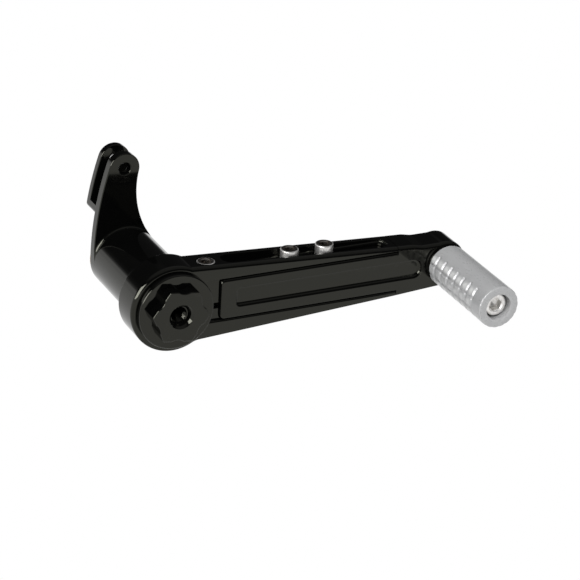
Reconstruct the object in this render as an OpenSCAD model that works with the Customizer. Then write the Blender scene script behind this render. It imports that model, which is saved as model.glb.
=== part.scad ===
/*
Motorcycle gear shift lever for forward controls, with an adjustable toe peg.
Millimetres. +X runs from the pivot to the toe peg, +Z is up, and -Y is the
outer side, away from the motorcycle. The origin is on the pivot axis, in the
plane of the arm's outer face.
*/

/* [Lever] */
// Distance from the pivot to the toe peg, with the slider fully in
reach = 154.6; // [152:0.2:158]
// Thickness of the arm, across the lever
arm_t = 16.4; // [16.2:0.1:17]
// Height of the arm's top edge above the pivot axis, at the pivot
arm_top_root = 21.4; // [21.2:0.1:21.7]
// Height of the arm's top edge above the pivot axis, at its free end
arm_top_end = 14.5; // [14.3:0.1:14.9]
// Depth of the arm's bottom edge below the pivot axis, at the pivot
arm_bottom_root = 20.1; // [19.8:0.1:20.5]
// Depth of the arm's bottom edge below the pivot axis, at its free end
arm_bottom_end = 12.8; // [12.5:0.1:13.2]
// Where the arm's channel ends and the slider's head begins
arm_end_x = 126; // [125:0.5:127]

/* [Clamp hub and pivot] */
// Radius of the arm's clamp hub
hub_r = 23; // [22.8:0.1:24]
// Thickness of the clamp hub
hub_t = 17.4; // [17.2:0.1:18]
// Radius of the barrel that the hub clamps
barrel_r = 17.75; // [17.5:0.05:18]
// Radius of the pivot axle where the bushes run on it
axle_r = 9.5; // [9:0.1:9.8]
// Radius of the axle's round flange
flange_r = 20.2; // [19.8:0.1:20.6]
// How far the flange stands in front of the hub
flange_out = 3.7; // [3:0.1:4.5]
// Corner radius of the hexagonal register on the flange
register_r = 15.5; // [15:0.1:16]
// Height of the hexagonal register
register_h = 6; // [5:0.1:8]
// Turn of the register about the pivot axis, in degrees
register_turn = -6.9; // [-10:0.1:10]
// Radius of the tapped hole in the axle's front (3/8 inch fine thread, drilled)
tapped_r = 4.25; // [4:0.05:4.5]
// Radius of the stub that sits in the motorcycle's bracket
stub_r = 7.95; // [7.5:0.05:8.2]

/* [Bellcrank] */
// Outer face of the bellcrank's plate, measured back from the arm's face
plate_y = 64.4; // [63:0.2:66]
// Thickness of the plate, which is also the clevis's outer ear
plate_t = 5; // [4.8:0.1:5.5]
// Width of the clevis slot
clevis_slot = 8; // [7.6:0.1:8.4]
// Thickness of the clevis's inner ear
inner_ear_t = 4; // [3.8:0.1:4.4]
// Height of the clevis pin hole above the pivot axis
clevis_z = 50.8; // [50:0.2:52]
// Radius of the clevis pin hole (quarter inch pin, with clearance)
clevis_hole_r = 3.25; // [3.2:0.01:3.3]
// Radius of the clevis's rounded end
ear_r = 8.3; // [8:0.1:8.6]

/* [Slider] */
// Height of the slider's top face above the pivot axis
slider_top = 12.1; // [12:0.05:12.2]
// Depth of the slider's bottom face below the pivot axis
slider_bottom = 9.9; // [9.8:0.05:10]
// Where the slider's inner end stands with the slider fully in
slider_x = 25.6; // [25.5:0.1:26.5]
// Radius of the slider's round head
head_r = 12; // [11.8:0.1:12.3]
// Travel of the slider when its two screws are loosened
travel = 30; // [20:0.5:30]

/* [Toe peg] */
// Radius of the toe peg
peg_r = 11.3; // [11:0.1:12]
// Distance from the arm's face to the peg's outer end
peg_end = 56.6; // [56.6:0.2:60]

/* [Hidden] */
$fn = 96;
eps = 0.01;                                // overrun of a cutting tool

black = "#17181a";
steel = "#c9cacb";
bronze = "#b08d57";
rubber = "#202020";
pale = "#a9abad";

run_gap = 0.05;                            // radial clearance of a running fit
face_gap = 0.1;                            // clearance between sliding flat faces

// Quarter inch cap screws
screw_r = 3.175;
screw_head_r = 4.7625;
screw_head_h = 6.35;
screw_key = 4.76;                          // across the flats of the key socket

// Five sixteenths cap screw of the peg
peg_screw_r = 3.97;
peg_screw_head_r = 5.95;
peg_screw_head_h = 7.94;
peg_screw_key = 6.35;

// Axle and bearings, along Y
flange_back = -0.3;                        // the flange's back face
register_y = -flange_out - register_h;     // the register's outer face
barrel_end = plate_y + plate_t;            // the plate's inner face
axle_end = barrel_end + 5.6;               // shoulder that meets the bracket
stub_l = 12;
tapped_l = 22;
bush_r = 12.7;                             // outer radius of the bushes
bush_l = 16;
bush_flange_r = 15.5;
bush_flange_t = 1.5;
rear_washer_t = 1.2;
ring_y = barrel_end + rear_washer_t + 0.4; // the retaining ring's front face
ring_t = 1.2;
front_washer_t = 2.4;                      // the front seal lies around this washer
front_bush_y = flange_back + front_washer_t + face_gap;
rear_seal_r = 1.3;                         // radius of the seals' sections
front_seal_r = 1.15;

// Arm
channel_gap = 0.4;                         // slider's clearance in its channel, each side
bar_t = 13;                                // the slider bar's thickness
land_t = 2;                                // depth of the land inside the slider's end
pinch_x = 20.2;                            // pinch bolt, beside the barrel
mid_y = arm_t / 2;                         // the screws' plane
pocket_x0 = 28.6;                          // ends of the top pocket
pocket_x1 = 123;
pocket_r = 5.1;
head_seat = 13.45;                         // level that the screw heads clamp on
pinch_seat = 13.75;
slit_z = -2.7;                             // middle of the clamp's slit
slit_h = 3.3;
slit_x1 = 42;                              // end of the slit in the arm's back wall
corner_r = 2.4;                            // rounded corners of the slider and channel

// Slider
screws_x = [66.9, 86.7];
recess_x0 = 34.2;
recess_x1 = 140.5;
recess_z0 = -4.5;
recess_z1 = 6.3;
recess_t = 2.2;
head_z = (slider_top - slider_bottom) / 2 + 0.2;   // the peg's axis
head_gap = 0.3;                            // between the slider's head and the arm's end
boss_t = 1.2;                              // raised boss behind the peg
boss_r = 10.3;

// Peg, along Y
sleeve_r = 6;
peg_start = 2.5;                           // the peg's inner end, in front of the face
screw_depth = 3.2;                         // the screw head below the peg's outer end
peg_counterbore_r = 6.9;
head_under = peg_end - screw_depth - peg_screw_head_h;
outer_washer_t = 1.5;
grip_rings = 7;
ring_pitch = 6.6;
ring_groove_w = 1.8;
ring_groove_t = 0.8;
column_pitch = 30;                         // degrees between the lengthwise grooves

// Height of the arm's edges at a distance x from the pivot
function arm_top(x) = arm_top_root + (arm_top_end - arm_top_root) * x / arm_end_x;
function arm_bottom(x) = -arm_bottom_root + (arm_bottom_root - arm_bottom_end) * x / arm_end_x;

// Centre of a circle that touches circles at the origin and at e, where d0 and
// d1 are its distances from their centres and side is 1 or -1
function touch(e, d0, d1, side) =
    let (l = norm(e), a = (d0 * d0 - d1 * d1 + l * l) / (2 * l), h = sqrt(d0 * d0 - a * a))
    [e[0] * a / l + side * h * e[1] / l, e[1] * a / l - side * h * e[0] / l];

// Solid cylinder along Y, from y0 to y1
module rod(r, y0, y1) {
    translate([0, y0, 0]) rotate([-90, 0, 0]) cylinder(h = y1 - y0, r = r);
}

// Tube along Y
module tube(r_out, r_in, y0, y1) {
    difference() {
        rod(r_out, y0, y1);
        rod(r_in, y0 - eps, y1 + eps);
    }
}

// Extrudes a side view along Y, from y0 to y1
module side_view(y0, y1) {
    translate([0, y1, 0]) rotate([90, 0, 0]) linear_extrude(height = y1 - y0) children();
}

// Extrudes a top view along Z, from z0 to z1
module top_view(z0, z1) {
    translate([0, 0, z0]) linear_extrude(height = z1 - z0) children();
}

// Rectangle with rounded corners
module round_rect(x0, x1, z0, z1, r) {
    translate([x0 + r, z0]) square([x1 - x0 - 2 * r, z1 - z0]);
    translate([x0, z0 + r]) square([x1 - x0, z1 - z0 - 2 * r]);
    for (x = [x0 + r, x1 - r], z = [z0 + r, z1 - r]) translate([x, z]) circle(r = r);
}

// Slot with round ends, along X
module slot(x0, x1, r) {
    translate([x0 + r, -r]) square([x1 - x0 - 2 * r, 2 * r]);
    for (x = [x0 + r, x1 - r]) translate([x, 0]) circle(r = r);
}

// Cap screw that points down, with the underside of its head at the origin
module cap_screw(shank_r, head_r, head_h, shank_l, key) {
    bevel = 0.4;
    difference() {
        union() {
            cylinder(h = head_h - bevel, r = head_r);
            translate([0, 0, head_h - bevel]) cylinder(h = bevel, r1 = head_r, r2 = head_r - bevel);
            translate([0, 0, -shank_l]) cylinder(h = shank_l + eps, r = shank_r);
        }
        translate([0, 0, head_h / 2]) cylinder(h = head_h, r = key / sqrt(3), $fn = 6);
    }
}

// Places a piece on the toe peg's axis, with its own Z pointing outwards
module on_peg_axis(y) {
    translate([reach, -y, head_z]) rotate([90, 0, 0]) children();
}

// Hexagon whose flats each have a shallow scallop in the middle
module scalloped_hexagon(r) {
    scallop_r = 6;
    scallop_t = 0.9;
    difference() {
        circle(r = r, $fn = 6);
        for (i = [0:5]) rotate(30 + 60 * i) {
            translate([r * cos(30) + scallop_r - scallop_t, 0]) circle(r = scallop_r);
        }
    }
}

module pivot_axle() {
    sink_r = 6.65;
    sink_t = sink_r - tapped_r;
    color(black) difference() {
        union() {
            side_view(register_y, -flange_out) rotate(180 + register_turn) scalloped_hexagon(register_r);
            rod(flange_r, -flange_out, flange_back);
            rod(axle_r, flange_back - eps, axle_end);
            rod(stub_r, axle_end - eps, axle_end + stub_l);
        }
        rod(tapped_r, register_y - eps, register_y + sink_t + tapped_l);
        translate([0, register_y, 0]) rotate([-90, 0, 0]) {
            translate([0, 0, -eps]) cylinder(h = sink_t, r1 = sink_r, r2 = tapped_r);
        }
        rod(tapped_r, axle_end + stub_l - tapped_l, axle_end + stub_l + eps);
        difference() {
            rod(axle_r + 1, ring_y - 0.05, ring_y + ring_t + 0.05);
            rod(axle_r - 0.9, ring_y - 1, ring_y + ring_t + 1);
        }
    }
}

module front_thrust_washer() {
    color(bronze) tube(bush_r - 0.1, axle_r + run_gap, flange_back, flange_back + front_washer_t);
}

module rear_thrust_washer() {
    y = barrel_end + face_gap;
    color(bronze) tube(barrel_r - 0.5, axle_r + run_gap, y, y + rear_washer_t);
}

module retaining_ring() {
    color(steel) difference() {
        tube(axle_r + 1.6, axle_r - 0.85, ring_y, ring_y + ring_t);
        translate([-2.5, ring_y - 1, -axle_r - 3]) cube([5, ring_t + 2, axle_r]);
    }
}

// The plate's outline: the barrel and the clevis's end, joined by two arcs
// that touch them both
module plate_outline() {
    back_r = 175;
    throat_r = 49;
    e = [-1.4, clevis_z];
    b = touch(e, back_r - barrel_r, back_r - ear_r, 1);
    t = touch(e, throat_r + barrel_r, throat_r + ear_r, 1);
    circle(r = barrel_r, $fn = 144);
    translate(e) circle(r = ear_r);
    difference() {
        intersection() {
            polygon([
                [0, 0], t * barrel_r / (throat_r + barrel_r),
                e + (t - e) * ear_r / (throat_r + ear_r), e,
                e + (e - b) * 3 * ear_r / (back_r - ear_r), -b * 2 * barrel_r / (back_r - barrel_r)
            ]);
            translate(b) circle(r = back_r, $fn = 360);
        }
        translate(t) circle(r = throat_r, $fn = 180);
    }
}

module bellcrank() {
    web_z = 25;
    slot_z = 30.3;
    slot_y = plate_y + plate_t;
    clevis_y = slot_y + clevis_slot + inner_ear_t;
    groove_y = mid_y - screw_r - 0.4;
    color(black) difference() {
        union() {
            rod(barrel_r, 0.1, barrel_end);
            side_view(plate_y, barrel_end) plate_outline();
            side_view(barrel_end - eps, clevis_y) intersection() {
                plate_outline();
                translate([-50, web_z]) square([100, 50]);
            }
        }
        rod(bush_r, 0, barrel_end + 1);
        rod(bush_flange_r, 0, front_bush_y + bush_flange_t);
        rod(bush_flange_r, barrel_end - bush_flange_t - 2 * rear_seal_r, barrel_end + 1);
        translate([-50, slot_y, slot_z]) cube([100, clevis_slot, 60]);
        translate([-1.4, 0, clevis_z]) rod(clevis_hole_r, plate_y - 1, clevis_y + 1);
        // Groove that the pinch bolt passes through, over part of the barrel
        intersection() {
            difference() {
                rod(barrel_r + 1, groove_y, groove_y + 2 * screw_r + 0.8);
                rod(pinch_x - screw_r - 0.4, groove_y - 1, groove_y + 2 * screw_r + 2);
            }
            side_view(0, arm_t) polygon([[0, 0], [40, -34], [40, 34]]);
        }
    }
}

// Flanged bush whose flange starts at y, and whose sleeve runs inwards from
// it: towards +Y, or towards -Y when turn is 180
module bush(y, turn) {
    color(bronze) translate([0, y, 0]) rotate([0, 0, turn]) {
        tube(bush_flange_r, axle_r + run_gap, 0, bush_flange_t);
        tube(bush_r, axle_r + run_gap, bush_flange_t - eps, bush_flange_t + bush_l);
    }
}

module front_bush() { bush(front_bush_y, 0); }

module rear_bush() { bush(barrel_end - 2 * rear_seal_r, 180); }

// Rubber ring around the pivot axis, where r is the radius of its section
module seal(y, ring_r, r) {
    color(rubber) translate([0, y, 0]) rotate([-90, 0, 0]) {
        rotate_extrude() translate([ring_r, 0]) circle(r = r, $fn = 32);
    }
}

module front_seal() { seal((flange_back + front_bush_y) / 2, bush_r + 0.2 + front_seal_r, front_seal_r); }

module rear_seal() {
    r = rear_seal_r - 0.02;
    seal(barrel_end - rear_seal_r, axle_r + run_gap + r, r);
}

module arm_outline() {
    circle(r = hub_r, $fn = 180);
    polygon([
        [0, arm_top(0)], [arm_end_x, arm_top(arm_end_x)],
        [arm_end_x, arm_bottom(arm_end_x)], [0, arm_bottom(0)]
    ]);
}

module clamp_arm() {
    z0 = -slider_bottom - channel_gap;
    z1 = slider_top + channel_gap;
    shank_slot_r = screw_r + 0.25;
    color(black) difference() {
        union() {
            rod(hub_r, 0, hub_t);
            side_view(0, arm_t) arm_outline();
        }
        rod(barrel_r + run_gap, -1, hub_t + 1);
        // Channel for the slider, and the land inside the slider's end
        side_view(-1, bar_t + 0.3) {
            round_rect(slider_x - 0.4, arm_end_x + 20, z0, z1, corner_r);
        }
        side_view(-1, land_t) translate([0, z0]) square([slider_x + 5, z1 - z0]);
        // Slit that lets the hub close on the barrel
        side_view(-1, hub_t + 1) {
            translate([10, slit_z - slit_h / 2]) square([slit_x1 - 10, slit_h]);
            translate([slit_x1, slit_z]) circle(r = 2.5);
        }
        // Pinch bolt: head seat, clearance and thread
        translate([pinch_x, mid_y, pinch_seat]) cylinder(h = 20, r = screw_head_r + 0.35);
        translate([pinch_x, mid_y, slit_z]) cylinder(h = 20, r = screw_r + 0.2);
        translate([pinch_x, mid_y, -15.5]) cylinder(h = 20, r = screw_r + 0.03);
        // Pocket that the slider's screws travel in, open to the channel
        translate([0, mid_y, 0]) {
            top_view(head_seat - face_gap / 2, 40) slot(pocket_x0, pocket_x1, pocket_r);
            top_view(z1 - 1, 40) {
                slot(pocket_x0 + 2, pocket_x1 - 2, shank_slot_r);
            }
        }
    }
}

module pinch_bolt() {
    color(steel) translate([pinch_x, mid_y, pinch_seat]) {
        cap_screw(screw_r, screw_head_r, screw_head_h, 27, screw_key);
    }
}

module slider_outline() {
    head_x = arm_end_x + head_gap;
    dip_z = slider_top + 0.8;
    round_rect(slider_x, head_x + 5, -slider_bottom, slider_top, corner_r);
    polygon([
        [head_x, arm_top(arm_end_x)], [head_x + 8, arm_top(arm_end_x) - 0.3],
        [head_x + 14, dip_z], [reach - 5, dip_z], [reach, head_z + head_r],
        [reach, head_z - head_r], [head_x, arm_bottom(arm_end_x)]
    ]);
    translate([reach, head_z]) circle(r = head_r);
}

module slider_bar() {
    head_x = arm_end_x + head_gap;
    color(black) difference() {
        union() {
            side_view(0, bar_t) slider_outline();
            side_view(bar_t - eps, arm_t) intersection() {
                slider_outline();
                translate([head_x, -50]) square([100, 100]);
            }
            on_peg_axis(-eps) cylinder(h = boss_t + eps, r = boss_r);
        }
        side_view(-1, recess_t) round_rect(recess_x0, recess_x1, recess_z0, recess_z1, 3);
        for (x = screws_x) {
            translate([x, mid_y, -7]) cylinder(h = 30, r = screw_r + 0.03);
        }
        on_peg_axis(-arm_t - 1) cylinder(h = arm_t + boss_t + 2, r = peg_screw_r + 0.03);
    }
}

module clamp_screw(x) {
    color(steel) translate([x, mid_y, head_seat]) {
        cap_screw(screw_r, screw_head_r, screw_head_h, 19, screw_key);
    }
}

module clamp_screw_inner() { clamp_screw(screws_x[0]); }

module clamp_screw_outer() { clamp_screw(screws_x[1]); }

module peg_bolt() {
    color(steel) on_peg_axis(head_under) {
        cap_screw(peg_screw_r, peg_screw_head_r, peg_screw_head_h, head_under + 14, peg_screw_key);
    }
}

// Ring on the toe peg's axis, from y0 to y1 in front of the arm's face
module peg_ring(r_out, r_in, y0, y1) {
    on_peg_axis(y0) difference() {
        cylinder(h = y1 - y0, r = r_out);
        translate([0, 0, -1]) cylinder(h = y1 - y0 + 2, r = r_in);
    }
}

module peg_sleeve() {
    color(steel) peg_ring(sleeve_r, peg_screw_r + 0.05, boss_t, head_under - outer_washer_t);
}

module peg_inner_washer() {
    color(steel) peg_ring(10, sleeve_r + 0.05, boss_t, peg_start - face_gap);
}

module peg_outer_washer() {
    start = head_under - outer_washer_t;
    color(steel) peg_ring(peg_counterbore_r - 0.4, peg_screw_r + 0.05, start, head_under);
}

module toe_peg() {
    floor_y = head_under - outer_washer_t - face_gap;
    friction_y = 14;
    color(pale) difference() {
        on_peg_axis(peg_start) cylinder(h = peg_end - peg_start, r = peg_r);
        on_peg_axis(0) cylinder(h = peg_end, r = sleeve_r + run_gap);
        on_peg_axis(floor_y) cylinder(h = peg_end, r = peg_counterbore_r);
        on_peg_axis(friction_y - 1) cylinder(h = 2, r = sleeve_r + 1.8);
        // Grip: ring grooves and lengthwise grooves over the lower side
        on_peg_axis(7.75 - ring_groove_w / 2) intersection() {
            union() {
                for (i = [0:grip_rings - 1]) translate([0, 0, i * ring_pitch]) difference() {
                    cylinder(h = ring_groove_w, r = peg_r + 1);
                    translate([0, 0, -1]) cylinder(h = ring_groove_w + 2, r = peg_r - ring_groove_t);
                }
            }
            rotate(135) translate([0, 0, -1]) linear_extrude(height = 60) {
                polygon([[0, 0], [40, 0], [40, 60], [-60, 60], [-60, -35]]);
            }
        }
        on_peg_axis(peg_start - 1) for (i = [1:6]) rotate(135 + column_pitch * i) {
            translate([peg_r - ring_groove_t, -0.6, 0]) cube([3, 1.2, grip_rings * ring_pitch + 0.5]);
        }
    }
}

module peg_friction_ring() {
    color(rubber) on_peg_axis(14) {
        rotate_extrude() translate([sleeve_r + 0.92, 0]) circle(r = 0.86, $fn = 32);
    }
}

pivot_axle();
front_thrust_washer();
rear_thrust_washer();
retaining_ring();
bellcrank();
front_bush();
rear_bush();
front_seal();
rear_seal();
clamp_arm();
pinch_bolt();
slider_bar();
clamp_screw_inner();
clamp_screw_outer();
peg_bolt();
peg_sleeve();
peg_inner_washer();
peg_outer_washer();
toe_peg();
peg_friction_ring();
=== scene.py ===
"""Looks of an adjustable motorcycle gear shift lever, built around its CAD frame.

Shapes are worked out in millimetres in the frame's own axes, and become metres
when a mesh is made: +X runs from the pivot to the toe peg, -Y is the outer side
and +Z is up.
"""

import math

import bmesh
import bpy
from mathutils import Matrix, Vector


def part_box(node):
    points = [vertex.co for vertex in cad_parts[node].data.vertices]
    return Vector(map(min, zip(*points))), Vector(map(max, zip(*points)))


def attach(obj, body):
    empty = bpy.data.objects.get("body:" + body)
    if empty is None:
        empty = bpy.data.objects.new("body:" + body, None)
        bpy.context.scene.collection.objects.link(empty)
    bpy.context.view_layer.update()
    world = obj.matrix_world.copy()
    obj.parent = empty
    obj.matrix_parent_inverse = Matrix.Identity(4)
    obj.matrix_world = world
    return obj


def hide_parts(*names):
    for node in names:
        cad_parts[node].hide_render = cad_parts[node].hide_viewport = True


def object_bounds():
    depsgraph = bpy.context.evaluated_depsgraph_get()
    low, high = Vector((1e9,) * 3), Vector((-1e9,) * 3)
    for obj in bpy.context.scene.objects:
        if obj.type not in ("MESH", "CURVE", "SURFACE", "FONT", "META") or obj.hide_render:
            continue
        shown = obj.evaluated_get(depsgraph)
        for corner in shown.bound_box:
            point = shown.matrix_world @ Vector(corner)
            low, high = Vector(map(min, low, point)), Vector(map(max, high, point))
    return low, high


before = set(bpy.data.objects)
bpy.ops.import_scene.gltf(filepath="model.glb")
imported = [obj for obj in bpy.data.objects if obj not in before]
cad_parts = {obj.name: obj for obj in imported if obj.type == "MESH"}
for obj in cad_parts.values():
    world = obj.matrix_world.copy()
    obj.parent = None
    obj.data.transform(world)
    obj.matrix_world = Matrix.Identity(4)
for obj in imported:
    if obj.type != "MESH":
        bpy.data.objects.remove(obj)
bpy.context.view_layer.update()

MM = 0.001


def span(node):
    """Lowest and highest corner of a CAD node, in millimetres."""
    low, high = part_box(node)
    return low / MM, high / MM


# ---------------------------------------------------------------- outlines


def arc(centre, start, end, turn=1, step=5.0):
    """Points about centre from start to end, anticlockwise where turn is 1."""
    centre, start, end = Vector(centre), Vector(start), Vector(end)
    first = math.atan2(start.y - centre.y, start.x - centre.x)
    last = math.atan2(end.y - centre.y, end.x - centre.x)
    sweep = turn * ((turn * (last - first)) % math.tau)
    count = max(2, math.ceil(abs(sweep) / math.radians(step)))
    radius = (start - centre).length
    angles = [first + sweep * i / count for i in range(count + 1)]
    return [centre + radius * Vector((math.cos(a), math.sin(a))) for a in angles]


def circle(centre, radius, step=4.0):
    """Closed outline of a circle."""
    count = round(360 / step)
    angles = [math.tau * i / count for i in range(count)]
    return [Vector(centre) + radius * Vector((math.cos(a), math.sin(a))) for a in angles]


def rounded(corners, step=6.0):
    """Closed anticlockwise outline through corners (u, v, radius)."""
    outline = []
    for i, (u, v, radius) in enumerate(corners):
        corner = Vector((u, v))
        back = Vector(corners[i - 1][:2]) - corner
        ahead = Vector(corners[(i + 1) % len(corners)][:2]) - corner
        if radius == 0:
            outline.append(corner)
            continue
        back.normalize()
        ahead.normalize()
        half = back.angle(ahead) / 2
        centre = corner + (back + ahead).normalized() * radius / math.sin(half)
        run = radius / math.tan(half)
        turn = 1 if ahead.cross(back) > 0 else -1
        outline += arc(centre, corner + back * run, corner + ahead * run, turn, step)
    return outline


def box_outline(low, high, radius, step=6.0):
    """Rectangle with rounded corners."""
    (u0, v0), (u1, v1) = low, high
    return rounded([(u0, v0, radius), (u1, v0, radius), (u1, v1, radius), (u0, v1, radius)], step)


def normals(outline):
    """Outward normal at each point of a closed anticlockwise outline, longer where a corner stretches it."""
    found = []
    for i, point in enumerate(outline):
        before = (point - outline[i - 1]).normalized()
        after = (outline[(i + 1) % len(outline)] - point).normalized()
        n0, n1 = Vector((before.y, -before.x)), Vector((after.y, -after.x))
        found.append((n0 + n1) / (1 + n0.dot(n1)))
    return found


def without_repeats(outline, least=0.02):
    """The outline without points that lie on their neighbours."""
    kept = []
    for point in outline:
        if not kept or (point - kept[-1]).length > least:
            kept.append(point)
    if (kept[0] - kept[-1]).length <= least:
        kept.pop()
    return kept


def circle_meets_line(centre, ring, radius, level, slope, above, right=1):
    """Blend between a ring and the line v = level + slope * u, on the line's upper or lower side.

    Returns the blend's centre and where it touches the ring and the line.
    """
    run = math.hypot(1, slope)
    lift = level + above * radius * run - centre[1]
    a, b = 1 + slope * slope, lift * slope - centre[0]
    c = centre[0] ** 2 + lift**2 - (ring + radius) ** 2
    u = (-b + right * math.sqrt(b * b - a * c)) / a
    middle = Vector((u, level + slope * u + above * radius * run))
    on_ring = Vector(centre) + (middle - Vector(centre)) * ring / (ring + radius)
    on_line = middle - above * radius * Vector((-slope, 1)) / run
    return middle, on_ring, on_line


def circles_cross(c0, r0, c1, r1, side):
    """Point at distances r0 and r1 from two centres."""
    c0, c1 = Vector(c0), Vector(c1)
    apart = (c1 - c0).length
    along = (r0 * r0 - r1 * r1 + apart * apart) / (2 * apart)
    off = math.sqrt(r0 * r0 - along * along)
    d = (c1 - c0) / apart
    return c0 + along * d + side * off * Vector((d.y, -d.x))


# ---------------------------------------------------------------- profiles
# A profile is a list of rings, each (place, radius, depth share, inset share). A radius is a
# number, or three where the outline faces up, sideways and down.


def radius_at(radius, facing):
    """Edge radius where the outline faces up (1), sideways (0) or down (-1)."""
    if not isinstance(radius, tuple):
        return radius
    up, side, down = radius
    return side + ((up if facing > 0 else down) - side) * min(1, abs(facing))


def plain(place):
    return [(place, 0, 0, 0)]


def quarter(face, way, radius, sign=1, steps=6):
    """Rounded edge from a face round to the side; sign -1 makes a cutter's flare, for a rounded lip."""
    turns = [math.pi / 2 * i / steps for i in range(steps + 1)]
    return [(face, radius, way * (1 - math.cos(t)), sign * (1 - math.sin(t))) for t in turns]


def edges(start, end, round0, round1):
    """Profile of a solid between two faces with rounded edges."""
    way = 1 if end > start else -1
    first = quarter(start, way, round0) if round0 else plain(start)
    last = quarter(end, -way, round1)[::-1] if round1 else plain(end)
    return first + last


def mouth(face, way, lip):
    """Profile of a cutter that enters a face and leaves it a rounded lip."""
    return [(face - way, lip, 0, -1)] + quarter(face, way, lip, -1, 4)


def pit(face, floor, lip, floor_round):
    """Profile of a cutter that makes a pit from a face down to a floor."""
    way = 1 if floor > face else -1
    return mouth(face, way, lip) + quarter(floor, -way, floor_round)[::-1]


def through(start, end, lip):
    """Profile of a cutter that goes in at one face and out at another."""
    return mouth(start, 1, lip) + mouth(end, -1, lip)[::-1]


def rings_of(outline, profile, point):
    """Rings of 3-D points, where point(u, v, place) puts each one in the frame."""
    outline = without_repeats(outline)
    out = normals(outline)
    rings = []
    for place, radius, depth, amount in profile:
        ring = []
        for p, n in zip(outline, out):
            r = radius_at(radius, n.y)
            ring.append(point(*(p - amount * r * n), place + depth * r))
        rings.append(ring)
    return rings


# ---------------------------------------------------------------- solids


def loft(name, rings, tube=False):
    """Solid through rings of points, in millimetres: closed by end faces, or into a tube."""
    count = len(rings[0])
    verts = [Vector(p) * MM for ring in rings for p in ring]
    faces = []
    for k in range(len(rings) if tube else len(rings) - 1):
        a, b = k * count, (k + 1) % len(rings) * count
        faces += [(a + i, a + (i + 1) % count, b + (i + 1) % count, b + i) for i in range(count)]
    if not tube:
        faces.append(tuple(range(count))[::-1])
        faces.append(tuple(range(len(verts) - count, len(verts))))
    mesh = bpy.data.meshes.new(name)
    mesh.from_pydata(verts, [], faces)
    shape = bmesh.new()
    shape.from_mesh(mesh)
    bmesh.ops.recalc_face_normals(shape, faces=shape.faces)
    shape.to_mesh(mesh)
    shape.free()
    obj = bpy.data.objects.new(name, mesh)
    bpy.context.scene.collection.objects.link(obj)
    return obj


def slab(name, outline, profile):
    """Solid with an outline in side view (x, z) and a profile along Y."""
    return loft(name, rings_of(outline, profile, lambda u, v, place: (u, place, v)))


def plate(name, outline, profile):
    """Solid with an outline in top view (x, y) and a profile along Z."""
    return loft(name, rings_of(outline, profile, lambda u, v, place: (u, v, place)))


def lathe(name, profile, centre=(0, 0), axis="Y", count=96):
    """Turned solid about an axis."""
    return loft(name, lathe_rings(profile, centre, axis, count))


def lathe_rings(profile, centre, axis, count):
    """Rings of a profile of (place, radius), where a radius may be a function of the angle."""
    rings = []
    for place, radius in profile:
        ring = []
        for i in range(count):
            angle = math.tau * i / count
            r = radius(angle) if callable(radius) else radius
            u, v = centre[0] + r * math.cos(angle), centre[1] + r * math.sin(angle)
            ring.append((u, place, v) if axis == "Y" else (u, v, place))
        rings.append(ring)
    return rings


def turned(start, end, radius, round0=0.0, round1=0.0):
    """Lathe profile of a stretch of shaft or hole; a negative round flares a hole's mouth."""
    way = 1 if end > start else -1
    profile = []
    for face, toward, r in ((start, way, round0), (end, -way, round1)):
        part = [(face, radius)]
        if r:
            part = []
            for t in [math.pi / 2 * i / 5 for i in range(6)]:
                part.append((face + toward * abs(r) * (1 - math.cos(t)), radius - r * (1 - math.sin(t))))
        profile += part if toward == way else part[::-1]
    return profile


def thread(start, end, crest, root, pitch, steps=6):
    """Lathe profile of a screw thread between two places."""
    rows = max(2, round(abs(end - start) / pitch * steps))

    def row(place):
        phase = place / pitch

        def radius(angle):
            tooth = abs(2 * ((phase + angle / math.tau) % 1) - 1)
            fade = min(1, abs(place - start) / pitch, abs(end - place) / pitch)
            return crest + (root - crest) * min(1, max(0, 1.3 * tooth - 0.15)) * fade

        return radius

    places = [start + (end - start) * i / rows for i in range(rows + 1)]
    return [(p, row(p)) for p in places]


def applied(obj):
    """The object with its modifiers made permanent."""
    bpy.context.view_layer.update()
    graph = bpy.context.evaluated_depsgraph_get()
    mesh = bpy.data.meshes.new_from_object(obj.evaluated_get(graph))
    obj.modifiers.clear()
    obj.data = mesh
    return obj


def combine(obj, operation, *tools):
    """Adds, removes or keeps the tools' volume, and uses the tools up."""
    for tool in tools:
        step = obj.modifiers.new("step", "BOOLEAN")
        step.operation = operation
        step.object = tool
        step.solver = "EXACT"
    applied(obj)
    for tool in tools:
        bpy.data.objects.remove(tool)
    return obj


def cut(obj, *tools):
    return combine(obj, "DIFFERENCE", *tools)


def join(obj, *tools):
    return combine(obj, "UNION", *tools)


def block(low, high):
    """Plain box for cutting with."""
    (x0, y0, z0), (x1, y1, z1) = low, high
    outline = [Vector(p) for p in ((x0, z0), (x1, z0), (x1, z1), (x0, z1))]
    return slab("block", outline, plain(y0) + plain(y1))


def finished(obj, name, material, body, slot, *nodes, sharp=28):
    """Shades a piece, gives it its material and puts it in its place in the frame."""
    weld, speck = 2e-6, 1e-6                # metres
    obj.name = name
    obj.data.name = name
    shape = bmesh.new()
    shape.from_mesh(obj.data)
    bmesh.ops.remove_doubles(shape, verts=shape.verts, dist=weld)
    bmesh.ops.dissolve_degenerate(shape, edges=shape.edges, dist=speck)
    bmesh.ops.delete(shape, geom=[v for v in shape.verts if not v.link_faces], context="VERTS")
    shape.to_mesh(obj.data)
    shape.free()
    obj.data.shade_smooth()
    obj.data.set_sharp_from_angle(angle=math.radians(sharp))
    even = obj.modifiers.new("even_normals", "WEIGHTED_NORMAL")
    even.keep_sharp = True
    even.weight = 100
    obj.data.materials.clear()
    obj.data.materials.append(material)
    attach(obj, body)
    if nodes:
        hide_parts(*nodes)
    return obj


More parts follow.
